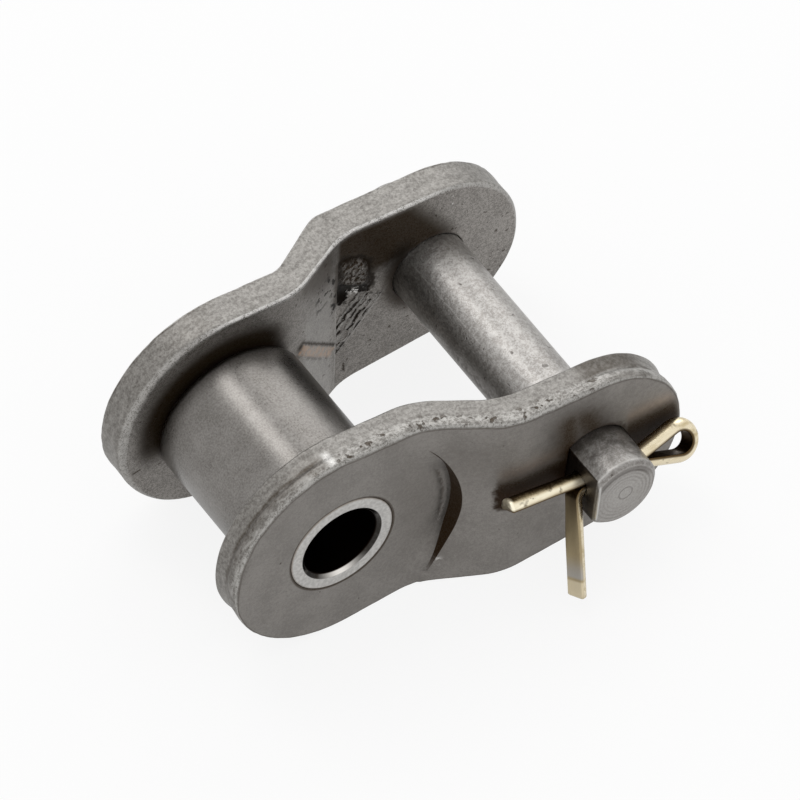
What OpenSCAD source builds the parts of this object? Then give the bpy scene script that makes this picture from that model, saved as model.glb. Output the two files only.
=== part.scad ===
// Offset link of a single-strand roller chain: two cranked plates carry a
// pressed bush with a free roller at the narrow end, and a slip-fit pin with
// a split cotter at the wide end. Bush and pin axes run along Y, X points
// from the bush to the pin, and the origin is on the bush axis mid-way
// between the plates. The cotter side is at -Y.

/* [Chain] */
// Distance from the bush axis to the pin axis
link_pitch = 25.4; // [24:0.1:30]
// Clear width between the plates at the bush end
inner_width = 16.3; // [12:0.1:22]

/* [Plates] */
// Thickness of each plate
plate_t = 3.5; // [2.6:0.1:4.2]
// End radius of the plate about the bush axis
bush_end_r = 11.9; // [10.6:0.1:12.8]
// End radius of the plate about the pin axis
pin_end_r = 10.1; // [8.4:0.1:10.8]
// How far each plate steps outwards from the bush end to the pin end
plate_offset = 4; // [3.4:0.1:5]
// Slope of the step
ramp_angle = 28; // [26:1:38]
// Middle of the step along X on the cotter-side plate
near_ramp_x = 12.7; // [11.4:0.1:13.6]
// Middle of the step along X on the far plate
far_ramp_x = 11.6; // [11.4:0.1:13.6]
// Radius of the two bends of the step
bend_r = 4; // [1.5:0.25:5]
// Room left round the ends of the next link's outer plates
outer_swing_gap = 2.1; // [1:0.1:2.6]
// Room left round the ends of the next link's inner plates
inner_swing_gap = 0.5; // [0.2:0.1:1]

/* [Bush and roller] */
// Outside diameter of the bush, and of the plate holes that it is pressed into
bush_d = 11.3; // [10.2:0.1:12.6]
// Chamfer at both mouths of the bush
bush_chamfer = 0.22; // [0.1:0.02:0.4]
// Outside diameter of the roller
roller_d = 15.88; // [14.8:0.02:17]
// Radial running gap between the bush and the roller
roller_gap = 0.08; // [0.03:0.01:0.1]
// Side gap between the roller and each plate
roller_side_gap = 0.45; // [0.2:0.05:0.8]
// Rounding of the roller's outer edges
roller_round = 0.6; // [0.2:0.1:1]

/* [Pin] */
// Diameter of the pin
pin_d = 7.94; // [7:0.02:8.6]
// Radial running gap between a chain pin and the bush bore
pin_running_gap = 0.04; // [0.02:0.01:0.08]
// Radial slip gap between the pin and the plate holes
pin_slip_gap = 0.03; // [0.02:0.01:0.08]
// How far the pin stands out of the cotter-side plate
pin_stub = 5.2; // [4.6:0.1:7]
// How far the pin stands out of the far plate
pin_far_stub = 4.8; // [1:0.1:6]
// Chamfer at both ends of the pin
pin_chamfer = 0.5; // [0.2:0.1:0.9]
// Depth of the flat that keeps the pin from turning
flat_depth = 1.1; // [0.6:0.1:1.4]
// Turn of the flat and the cross hole about the pin axis
pin_turn = 4.5; // [0:0.5:10]

/* [Cotter] */
// Diameter of the two half-round legs together
cotter_d = 2.2; // [1.6:0.1:2.6]
// Gap between the two legs
leg_gap = 0.1; // [0.04:0.02:0.3]
// Radial gap between the cotter and the cross hole
cross_hole_gap = 0.15; // [0.06:0.01:0.3]
// Distance from the plate's outer face to the cotter axis
cotter_stand = 2.1; // [2:0.05:2.8]
// Turn of the cotter about its own axis, which swings the bent leg outwards
cotter_roll = 31; // [0:1:40]
// Length of the straight leg beyond the flat
straight_leg = 7.8; // [4:0.1:9]
// Angle through which the straight leg is lifted off the other one
leg_lift = 3.5; // [1:0.5:8]
// Radius of the slight bend that lifts the straight leg
leg_lift_r = 4; // [2:0.5:8]
// Length of the bent leg after its bend
bent_leg = 9.6; // [4:0.1:10]
// Angle through which the bent leg is turned down
leg_bend = 79; // [50:1:86]
// Inside radius of the tight bend
leg_bend_inner_r = 0.2; // [0.1:0.05:0.6]
// Inside radius of the eye
eye_r = 1.1; // [0.9:0.1:1.5]
// Distance from the pin to the middle of the eye
eye_reach = 4.3; // [3.4:0.1:6]
// Radius of the two bends where the legs part towards the eye
eye_neck_r = 2; // [1.5:0.1:3]

/* [Hidden] */
$fn = 96;
bend_steps = 6;
round_steps = 6;
wire_facets = 10;
wire_step = 14;
cut_past = 2;

// Planes across the link, measured from its middle
bush_in_y = inner_width / 2;
bush_out_y = bush_in_y + plate_t;
pin_in_y = bush_in_y + plate_offset;
pin_out_y = pin_in_y + plate_t;

// Bush and roller
bush_bore_r = pin_d / 2 + pin_running_gap;
roller_bore_r = bush_d / 2 + roller_gap;
roller_half_w = bush_in_y - roller_side_gap;

// Round clearances for the neighbouring links
bush_clear_r = pin_end_r + outer_swing_gap;
pin_clear_r = bush_end_r + inner_swing_gap;

// Pin and cotter
pin_r = pin_d / 2;
pin_hole_r = pin_r + pin_slip_gap;
flat_x = pin_r - flat_depth;
wire_r = cotter_d / 2;
cotter_y = -pin_out_y - cotter_stand;
half_gap = leg_gap / 2;

// Outline of a plate in its own plane: two end circles and the straight
// flanks that touch both of them
flank_angle = acos((bush_end_r - pin_end_r) / link_pitch);

function on_circle(r, a) = [r * cos(a), r * sin(a)];

module plate_outline() {
    bush_touch = on_circle(bush_end_r, flank_angle);
    pin_touch = [link_pitch, 0] + on_circle(pin_end_r, flank_angle);
    circle(r = bush_end_r);
    translate([link_pitch, 0]) circle(r = pin_end_r);
    polygon([
        bush_touch,
        [bush_touch[0], -bush_touch[1]],
        [pin_touch[0], -pin_touch[1]],
        pin_touch
    ]);
}

// Rise of a plate face along X: flat, bend, ramp, bend, flat
function face_line(ramp_x) =
    let (
        half_run = plate_offset / 2 / tan(ramp_angle),
        back_off = bend_r * tan(ramp_angle / 2),
        first_x = ramp_x - half_run - back_off,
        last_x = ramp_x + half_run + back_off,
        steps = [for (i = [0 : bend_steps]) ramp_angle * i / bend_steps]
    )
    concat(
        [[-bush_end_r - cut_past, 0]],
        [for (a = steps) [first_x + bend_r * sin(a), bend_r * (1 - cos(a))]],
        [for (i = [bend_steps : -1 : 0])
            [last_x - bend_r * sin(steps[i]), plate_offset - bend_r * (1 - cos(steps[i]))]],
        [[link_pitch + pin_end_r + cut_past, plate_offset]]
    );

// Cross-section of a plate on the +Y side, its two faces a thickness apart
function plate_section(ramp_x) =
    let (line = face_line(ramp_x), last = len(line) - 1)
    concat(
        [for (p = line) [p[0], bush_in_y + p[1]]],
        [for (i = [last : -1 : 0]) [line[i][0], bush_out_y + line[i][1]]]
    );

// Cylinder along Y about the axis at x, between two planes
module rod_y(x, r, y0, y1) {
    translate([x, y0, 0]) rotate([-90, 0, 0]) cylinder(r = r, h = y1 - y0);
}

// Solid of revolution about Y: the profile's first coordinate is its radius
module turned_y(x, profile) {
    translate([x, 0, 0]) rotate([90, 0, 0]) mirror([0, 0, 1])
        rotate_extrude() polygon(profile);
}

// Cranked plate on the +Y side, without its pin hole
module cranked_plate(ramp_x) {
    difference() {
        intersection() {
            linear_extrude(height = 2 * (bush_end_r + cut_past), center = true)
                polygon(plate_section(ramp_x));
            rotate([90, 0, 0]) translate([0, 0, -pin_out_y - cut_past])
                linear_extrude(height = plate_t + plate_offset + 2 * cut_past) plate_outline();
        }
        rod_y(0, bush_clear_r, bush_out_y, pin_out_y + cut_past);
        rod_y(link_pitch, pin_clear_r, bush_in_y - cut_past, pin_in_y);
        rod_y(0, bush_d / 2, bush_in_y - cut_past, bush_out_y + cut_past);
    }
}

// Everything on the pin's flat side, at a distance from its axis
module beyond_flat(distance, y0, y1) {
    side = 2 * pin_d;
    translate([link_pitch, 0, 0]) rotate([0, pin_turn, 0])
        translate([-distance - side, y0, -side / 2]) cube([side, y1 - y0, side]);
}

module near_plate() {
    color("#6e6965")
    difference() {
        mirror([0, 1, 0]) cranked_plate(near_ramp_x);
        difference() {
            rod_y(link_pitch, pin_hole_r, -pin_out_y - cut_past, -pin_in_y + cut_past);
            beyond_flat(flat_x + pin_slip_gap, -pin_out_y - 2 * cut_past, -pin_in_y + 2 * cut_past);
        }
    }
}

module far_plate() {
    color("#726d68")
    difference() {
        cranked_plate(far_ramp_x);
        rod_y(link_pitch, pin_hole_r, pin_in_y - cut_past, pin_out_y + cut_past);
    }
}

module bush() {
    outer = bush_d / 2;
    color("#b4b1ac")
    turned_y(0, [
        [bush_bore_r + bush_chamfer, -bush_out_y],
        [outer, -bush_out_y],
        [outer, bush_out_y],
        [bush_bore_r + bush_chamfer, bush_out_y],
        [bush_bore_r, bush_out_y - bush_chamfer],
        [bush_bore_r, -bush_out_y + bush_chamfer]
    ]);
}

module roller() {
    outer = roller_d / 2;
    rounding = [for (i = [0 : round_steps]) on_circle(roller_round, 90 * i / round_steps)];
    corner = [outer - roller_round, roller_half_w - roller_round];
    color("#8d8883")
    turned_y(0, concat(
        [[roller_bore_r, -roller_half_w]],
        [for (i = [round_steps : -1 : 0]) [corner[0] + rounding[i][0], -corner[1] - rounding[i][1]]],
        [for (p = rounding) corner + p],
        [[roller_bore_r, roller_half_w]]
    ));
}

// The flat runs from the cotter end to the inner face of the near plate,
// where its shoulder stops the pin; the cotter stops it the other way
module pin() {
    near_end = -pin_out_y - pin_stub;
    far_end = pin_out_y + pin_far_stub;
    nose_r = pin_r - pin_chamfer;
    color("#7b7671")
    difference() {
        turned_y(link_pitch, [
            [0, near_end],
            [nose_r, near_end],
            [pin_r, near_end + pin_chamfer],
            [pin_r, far_end - pin_chamfer],
            [nose_r, far_end],
            [0, far_end]
        ]);
        beyond_flat(flat_x, near_end - cut_past, -pin_in_y);
        cotter_place() rotate([0, 90, 0])
            cylinder(r = wire_r + cross_hole_gap, h = 2 * pin_d, center = true);
    }
}

// Frame of the cotter: X along its legs towards the eye, Z across the split
module cotter_place() {
    translate([link_pitch, cotter_y, 0]) rotate([0, pin_turn, 0]) rotate([-cotter_roll, 0, 0])
        children();
}

// Path of the wire in the plane of its fold: each place is [x, z, heading], and
// each move is [length] or [bend radius, angle], with turns to the left positive
function left_of(heading) = [-sin(heading), cos(heading)];

function after_move(place, move) =
    let (at = [place[0], place[1]], heading = place[2])
    len(move) == 1
    ? concat(at + move[0] * [cos(heading), sin(heading)], heading)
    : let (
        turned = heading + move[1],
        to_centre = sign(move[1]) * move[0]
    )
    concat(at + to_centre * (left_of(heading) - left_of(turned)), turned);

function in_steps(move) =
    len(move) == 1
    ? [move]
    : let (count = ceil(abs(move[1]) / wire_step))
    [for (i = [1 : count]) [move[0], move[1] / count]];

function wire_path(start, moves) =
    let (
        steps = [for (move = moves) each in_steps(move)],
        count = len(steps)
    )
    [for (
        i = 0, place = start;
        i <= count;
        place = i < count ? after_move(place, steps[i]) : place, i = i + 1
    ) place];

// Half-round wire with its flat on the path and its back to the left
module half_round_wire(path) {
    side = wire_facets + 1;
    rings = len(path);
    points = [
        for (place = path, j = [0 : wire_facets])
            let (
                around = 180 * j / wire_facets - 90,
                back = wire_r * cos(around) * left_of(place[2])
            )
            [place[0] + back[0], wire_r * sin(around), place[1] + back[1]]
    ];
    walls = [
        for (i = [0 : rings - 2], j = [0 : wire_facets])
            let (k = (j + 1) % side)
            [i * side + j, (i + 1) * side + j, (i + 1) * side + k, i * side + k]
    ];
    first_end = [for (j = [0 : wire_facets]) j];
    last_end = [for (j = [wire_facets : -1 : 0]) (rings - 1) * side + j];
    polyhedron(points, concat(walls, [first_end, last_end]));
}

// One wire: the lifted straight leg, the eye between its two necks, and the
// leg that is bent down. Each neck's side touches both its bend and the eye.
module cotter() {
    neck_rise = half_gap + eye_neck_r;
    to_eye = norm([eye_reach, neck_rise]);
    both_r = eye_neck_r + eye_r;
    neck_angle = asin(both_r / to_eye) - atan(neck_rise / eye_reach);
    neck_side = sqrt(pow(to_eye, 2) - pow(both_r, 2));
    lift_run = straight_leg * cos(leg_lift) + leg_lift_r * sin(leg_lift);
    lift_rise = straight_leg * sin(leg_lift) + leg_lift_r * (1 - cos(leg_lift));
    leg_end = [-flat_x - lift_run, half_gap + lift_rise, -leg_lift];
    color("#b59a5c")
    cotter_place() half_round_wire(wire_path(leg_end, [
        [straight_leg],
        [leg_lift_r, leg_lift],
        [flat_x + pin_r],
        [eye_neck_r, neck_angle],
        [neck_side],
        [eye_r, -180 - 2 * neck_angle],
        [neck_side],
        [eye_neck_r, neck_angle],
        [pin_r + flat_x],
        [leg_bend_inner_r + wire_r, leg_bend],
        [bent_leg]
    ]));
}

near_plate();
far_plate();
bush();
roller();
pin();
cotter();
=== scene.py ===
"""Looks of a cranked offset link: numpy surfaces dressed as worn chain steel.

Sizes are in millimetres until a mesh is filled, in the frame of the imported
solids: Y runs along the bush and the pin, X from the bush to the pin, and the
cotter side is at -Y.
"""

import logging
import math
from dataclasses import dataclass, field
from enum import Enum
from typing import Mapping, Optional, Sequence, Union

import bmesh
import bpy
import numpy as np
from mathutils import Matrix, Vector

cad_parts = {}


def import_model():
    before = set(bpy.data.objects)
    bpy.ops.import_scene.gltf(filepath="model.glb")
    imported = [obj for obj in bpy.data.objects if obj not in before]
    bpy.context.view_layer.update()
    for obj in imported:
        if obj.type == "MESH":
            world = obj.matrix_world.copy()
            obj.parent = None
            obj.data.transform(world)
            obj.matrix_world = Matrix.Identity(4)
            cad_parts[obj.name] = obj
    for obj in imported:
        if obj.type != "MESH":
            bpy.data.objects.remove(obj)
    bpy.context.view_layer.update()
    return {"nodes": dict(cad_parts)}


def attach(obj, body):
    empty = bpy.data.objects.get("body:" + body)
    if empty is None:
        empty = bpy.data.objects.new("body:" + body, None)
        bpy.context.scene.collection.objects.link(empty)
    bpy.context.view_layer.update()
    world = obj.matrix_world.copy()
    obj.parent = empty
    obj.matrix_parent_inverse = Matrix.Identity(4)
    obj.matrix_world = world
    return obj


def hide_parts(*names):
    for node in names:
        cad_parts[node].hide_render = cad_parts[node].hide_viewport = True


Array = np.ndarray
Colour = tuple[float, float, float]
Key = Union[int, str]

LOG = logging.getLogger("offset_link")
MM = 0.001
WELD = 1e-4


def smooth_step(low: float, high: float, x: Array) -> Array:
    """Cubic step 3t^2 - 2t^3, with t the clipped share of the way from low to high."""
    t = np.clip((x - low) / (high - low), 0.0, 1.0)
    return t * t * (3.0 - 2.0 * t)


def bell(x: Array, middle: float, width: float) -> Array:
    """Bell curve exp(-((x - middle) / width)^2)."""
    return np.exp(-(((x - middle) / width) ** 2))


def value_noise(a: Array, b: Array, cell: float, seed: int) -> Array:
    """Smooth noise: seeded values on a square lattice, eased between its points.

    Args:
        a: First coordinate.
        b: Second coordinate.
        cell: Side of a lattice square.
        seed: Seed of the lattice values.

    Returns:
        Values from -1 to 1.
    """
    side = 61
    table = np.random.default_rng(seed).uniform(-1.0, 1.0, (side, side))
    i = np.floor(a / cell).astype(int)
    j = np.floor(b / cell).astype(int)
    s = smooth_step(0.0, 1.0, a / cell - i)
    t = smooth_step(0.0, 1.0, b / cell - j)
    i0, i1, j0, j1 = i % side, (i + 1) % side, j % side, (j + 1) % side
    low = table[i0, j0] * (1 - s) + table[i1, j0] * s
    high = table[i0, j1] * (1 - s) + table[i1, j1] * s
    return low * (1 - t) + high * t


def round_off(distance: Array, radius: Union[float, Array]) -> Array:
    """Drop of a rounded edge: r - sqrt(r^2 - (r - d)^2) within the radius of the edge."""
    inside = np.clip(radius - distance, 0.0, radius)
    return radius - np.sqrt(np.maximum(radius**2 - inside**2, 0.0))


def filleted(corners: Sequence[tuple[float, float, float]], closed: bool, steps: int = 7) -> Array:
    """Profile through corners whose tips become arcs.

    An arc of radius r starts r / tan(half) from the tip along both sides, where
    half is half the corner's angle. A point just beyond each arc keeps the flat
    beside it evenly shaded.

    Args:
        corners: Radius and Y of each corner, and its fillet radius, 0 for a sharp one.
        closed: Whether the last corner joins the first.
        steps: Points on each arc.

    Returns:
        Points by two.
    """
    tips = np.array([c[:2] for c in corners], float)
    count = len(tips)
    pieces = []
    for i, (_, _, radius) in enumerate(corners):
        inner = closed or 0 < i < count - 1
        if radius == 0 or not inner:
            pieces.append(tips[i][None])
            continue
        sides = np.array([tips[i - 1], tips[(i + 1) % count]]) - tips[i]
        ways = sides / np.linalg.norm(sides, axis=1)[:, None]
        half = 0.5 * np.arccos(np.clip(ways[0] @ ways[1], -1.0, 1.0))
        middle = ways.sum(axis=0)
        centre = tips[i] + middle / np.linalg.norm(middle) * radius / np.sin(half)
        start, end = tips[i] + ways * radius / np.tan(half)
        sweep = np.pi - 2 * half
        t = np.linspace(0.0, 1.0, steps)[:, None]
        arc = np.sin((1 - t) * sweep) * (start - centre) + np.sin(t * sweep) * (end - centre)
        held = [start + ways[0] * 0.3 * radius, end + ways[1] * 0.3 * radius]
        pieces.append(np.vstack([held[:1], centre + arc / np.sin(sweep), held[1:]]))
    return np.concatenate(pieces)


def turned(profile: Array, angles: Array, axis_x: float) -> Array:
    """Surface of revolution about Y: x = axis + r cos(a), z = r sin(a).

    Args:
        profile: Points by radius and Y.
        angles: Turn of each row of the grid.
        axis_x: X of the axis.

    Returns:
        Angles by profile points by XYZ.
    """
    radius, y = profile[None, :, 0], profile[None, :, 1]
    turn = angles[:, None]
    return np.stack(np.broadcast_arrays(axis_x + radius * np.cos(turn), y, radius * np.sin(turn)), axis=-1)


def full_turn(steps: int) -> Array:
    """Evenly spaced angles of one turn, without the last."""
    return np.linspace(0.0, 2 * np.pi, steps, endpoint=False)


class Shell:
    """Point grids that are welded into one closed surface."""

    def __init__(self, name: str, marks: Sequence[str] = ()) -> None:
        """Starts an empty shell.

        Args:
            name: Name of the object it becomes.
            marks: Names of the values kept at each point.
        """
        self.name = name
        self._points: list[Array] = []
        self._quads: list[Array] = []
        self._marks: dict[str, list[Array]] = {mark: [] for mark in marks}
        self._count = 0

    def add(self, points: Array, rows_close: bool = False, columns_close: bool = False,
            **marks: Union[float, Array]) -> None:
        """Adds the quads of one grid.

        Args:
            points: Rows by columns by XYZ.
            rows_close: Whether the last row joins the first.
            columns_close: Whether the last column joins the first.
            marks: Values of the grid's points by mark; a missing mark is 0.
        """
        rows, columns = points.shape[:2]
        index = self._count + np.arange(rows * columns).reshape(rows, columns)
        if rows_close:
            index = np.vstack([index, index[:1]])
        if columns_close:
            index = np.hstack([index, index[:, :1]])
        corners = [index[:-1, :-1], index[1:, :-1], index[1:, 1:], index[:-1, 1:]]
        self._quads.append(np.stack(corners, axis=-1).reshape(-1, 4))
        self._points.append(points.reshape(-1, 3))
        for mark, kept in self._marks.items():
            kept.append(np.broadcast_to(marks.get(mark, 0.0), (rows, columns)).ravel())
        self._count += rows * columns

    def to_object(self, crease_deg: float) -> bpy.types.Object:
        """Welds the grids and makes the mesh object.

        Points that round to the same place become one, and a quad that loses a
        side this way becomes a triangle.

        Args:
            crease_deg: Angle between faces from which an edge is shaded sharp.

        Returns:
            The object, at the origin.
        """
        points = np.concatenate(self._points)
        cells = np.round(points / WELD).astype(np.int64)
        _, keep, place = np.unique(cells, axis=0, return_index=True, return_inverse=True)
        quads = place.ravel()[np.concatenate(self._quads)]
        same = quads == np.roll(quads, -1, axis=1)
        lost = same.sum(axis=1)
        whole = quads[lost == 0]
        triangles = quads[lost == 1][~same[lost == 1]].reshape(-1, 3)
        mesh = bpy.data.meshes.new(self.name)
        mesh.from_pydata((points[keep] * MM).tolist(), [], whole.tolist() + triangles.tolist())
        for mark, kept in self._marks.items():
            values = np.concatenate(kept)[keep].astype(np.float32)
            mesh.attributes.new(mark, "FLOAT", "POINT").data.foreach_set("value", values)
        piece = bpy.data.objects.new(self.name, mesh)
        bpy.context.scene.collection.objects.link(piece)
        point_outwards(mesh)
        shade(mesh, crease_deg)
        return piece


def point_outwards(mesh: bpy.types.Mesh) -> None:
    """Turns the faces of a closed mesh outwards."""
    work = bmesh.new()
    work.from_mesh(mesh)
    bmesh.ops.recalc_face_normals(work, faces=work.faces)
    work.to_mesh(mesh)
    work.free()


def shade(mesh: bpy.types.Mesh, crease_deg: float) -> None:
    """Shades a mesh smooth, with sharp edges from an angle in degrees."""
    mesh.polygons.foreach_set("use_smooth", np.ones(len(mesh.polygons), bool))
    mesh.set_sharp_from_angle(angle=math.radians(crease_deg))


class Num:
    """A value in a node tree that takes part in Python expressions."""

    def __init__(self, graph: "Graph", socket: bpy.types.NodeSocket) -> None:
        """Wraps an output socket of the graph."""
        self.graph = graph
        self.socket = socket

    def _math(self, operation: str, *values: object) -> "Num":
        """Adds a Math node and returns its result."""
        made = self.graph.node("ShaderNodeMath", {"operation": operation}, dict(enumerate(values)))
        return Num(self.graph, made.outputs[0])

    def __add__(self, other: object) -> "Num":
        """Sum."""
        return self._math("ADD", self, other)

    __radd__ = __add__

    def __sub__(self, other: object) -> "Num":
        """Difference."""
        return self._math("SUBTRACT", self, other)

    def __rsub__(self, other: object) -> "Num":
        """Difference from a number."""
        return self._math("SUBTRACT", other, self)

    def __mul__(self, other: object) -> "Num":
        """Product."""
        return self._math("MULTIPLY", self, other)

    __rmul__ = __mul__

    def __truediv__(self, other: object) -> "Num":
        """Quotient."""
        return self._math("DIVIDE", self, other)

    def __pow__(self, other: object) -> "Num":
        """Power."""
        return self._math("POWER", self, other)

    def sine(self) -> "Num":
        """Sine, of radians."""
        return self._math("SINE", self)

    def root(self) -> "Num":
        """Square root."""
        return self._math("SQRT", self)

    def most(self, *others: object) -> "Num":
        """Largest of several values."""
        largest = self
        for other in others:
            largest = largest._math("MAXIMUM", largest, other)
        return largest

    def size(self) -> "Num":
        """Value without its sign."""
        return self._math("ABSOLUTE", self)

    def bell(self, middle: float, width: float) -> "Num":
        """Bell curve exp(-((v - middle) / width)^2)."""
        off = (self - middle) / width
        return self._math("EXPONENT", off * off * -1.0)

    def between(self, low: float, high: float, soft: float) -> "Num":
        """Share of being between two values, with edges as soft as given."""
        return self.step(low, low + soft) * self.step(high, high - soft)

    def step(self, low: float, high: float) -> "Num":
        """Smooth step from 0 at low to 1 at high, which may be the smaller one."""
        made = self.graph.node(
            "ShaderNodeMapRange",
            {"interpolation_type": "SMOOTHSTEP"},
            {"Value": self, "From Min": low, "From Max": high},
        )
        return Num(self.graph, made.outputs[0])


class Graph:
    """Node tree of one material."""

    def __init__(self, name: str) -> None:
        """Makes an empty material with object coordinates in millimetres."""
        self.material = bpy.data.materials.new(name)
        self.material.use_nodes = True
        self.tree = self.material.node_tree
        self.tree.nodes.clear()
        place = self.node("ShaderNodeTexCoord", {}, {}).outputs["Object"]
        scaled = self.node("ShaderNodeVectorMath", {"operation": "SCALE"}, {0: place, "Scale": 1 / MM})
        self.point = scaled.outputs[0]

    def node(self, kind: str, settings: Mapping[str, object], sockets: Mapping[Key, object]) -> bpy.types.Node:
        """Adds a node.

        Args:
            kind: Type of the node.
            settings: Properties, which are set first.
            sockets: Values or links of its inputs, by name or number.

        Returns:
            The node.
        """
        made = self.tree.nodes.new(kind)
        for setting, value in settings.items():
            setattr(made, setting, value)
        for key, value in sockets.items():
            source = value.socket if isinstance(value, Num) else value
            if isinstance(source, bpy.types.NodeSocket):
                self.tree.links.new(source, made.inputs[key])
            else:
                made.inputs[key].default_value = source
        return made

    def axes(self) -> tuple[Num, Num, Num]:
        """X, Y and Z of the point, in millimetres."""
        parts = self.node("ShaderNodeSeparateXYZ", {}, {0: self.point}).outputs
        return Num(self, parts[0]), Num(self, parts[1]), Num(self, parts[2])

    def mark(self, name: str) -> Num:
        """Value that the mesh keeps at its points."""
        made = self.node("ShaderNodeAttribute", {"attribute_name": name}, {})
        return Num(self, made.outputs["Fac"])

    def noise(self, per_mm: float, detail: float = 2.0, stretch: Colour = (1.0, 1.0, 1.0),
              shift: float = 0.0) -> Num:
        """Cloudy noise around 0.5.

        Args:
            per_mm: Features in a millimetre.
            detail: Octaves of finer noise.
            stretch: Factor on the features per millimetre along each axis.
            shift: Offset along all axes, which picks another pattern.

        Returns:
            The noise.
        """
        placed = self.node(
            "ShaderNodeMapping", {}, {"Vector": self.point, "Location": (shift,) * 3, "Scale": stretch}
        )
        made = self.node(
            "ShaderNodeTexNoise", {}, {"Vector": placed.outputs[0], "Scale": per_mm, "Detail": detail}
        )
        return Num(self, made.outputs[0])

    def streaks(self, run: Num, over: Num, per_mm: float, detail: float) -> Num:
        """Noise over two lengths of a surface instead of the point in space."""
        placed = self.node("ShaderNodeCombineXYZ", {}, {0: run, 1: over})
        made = self.node(
            "ShaderNodeTexNoise", {}, {"Vector": placed.outputs[0], "Scale": per_mm, "Detail": detail}
        )
        return Num(self, made.outputs[0])

    def mix(self, share: Union[Num, float], first: object, second: object) -> bpy.types.NodeSocket:
        """Colour between two, by a share from 0 to 1."""
        colours = [c if isinstance(c, bpy.types.NodeSocket) else (*c, 1.0) for c in (first, second)]
        made = self.node(
            "ShaderNodeMix",
            {"data_type": "RGBA", "clamp_factor": True},
            {0: share, 6: colours[0], 7: colours[1]},
        )
        return made.outputs[2]

    def metal(self, colour: object, roughness: object, height: Num, metallic: object = 1.0) -> bpy.types.Material:
        """Closes the graph with a metal shader.

        Args:
            colour: Base colour.
            roughness: Roughness.
            height: Relief of the surface, in millimetres.
            metallic: Share of metal; the rest is matt.

        Returns:
            The material.
        """
        bump = self.node("ShaderNodeBump", {}, {"Strength": 1.0, "Distance": MM, "Height": height})
        shader = self.node(
            "ShaderNodeBsdfPrincipled",
            {},
            {"Base Color": colour, "Roughness": roughness, "Metallic": metallic, "Normal": bump.outputs[0],
             "Specular IOR Level": 0.05},
        )
        self.node("ShaderNodeOutputMaterial", {}, {0: shader.outputs[0]})
        return self.material


@dataclass(frozen=True)
class Wear:
    """Local marks of a finish: shares of dirt and painted shade, of black and painted shadow, of painted highlight and
    of tan wear or painted reflection, and a relief in millimetres.
    """

    dirt_and_shade: Num
    black_and_shadow: Num
    bright: Num
    rubbed_and_reflected: Union[Num, float]
    height: Num


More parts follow.
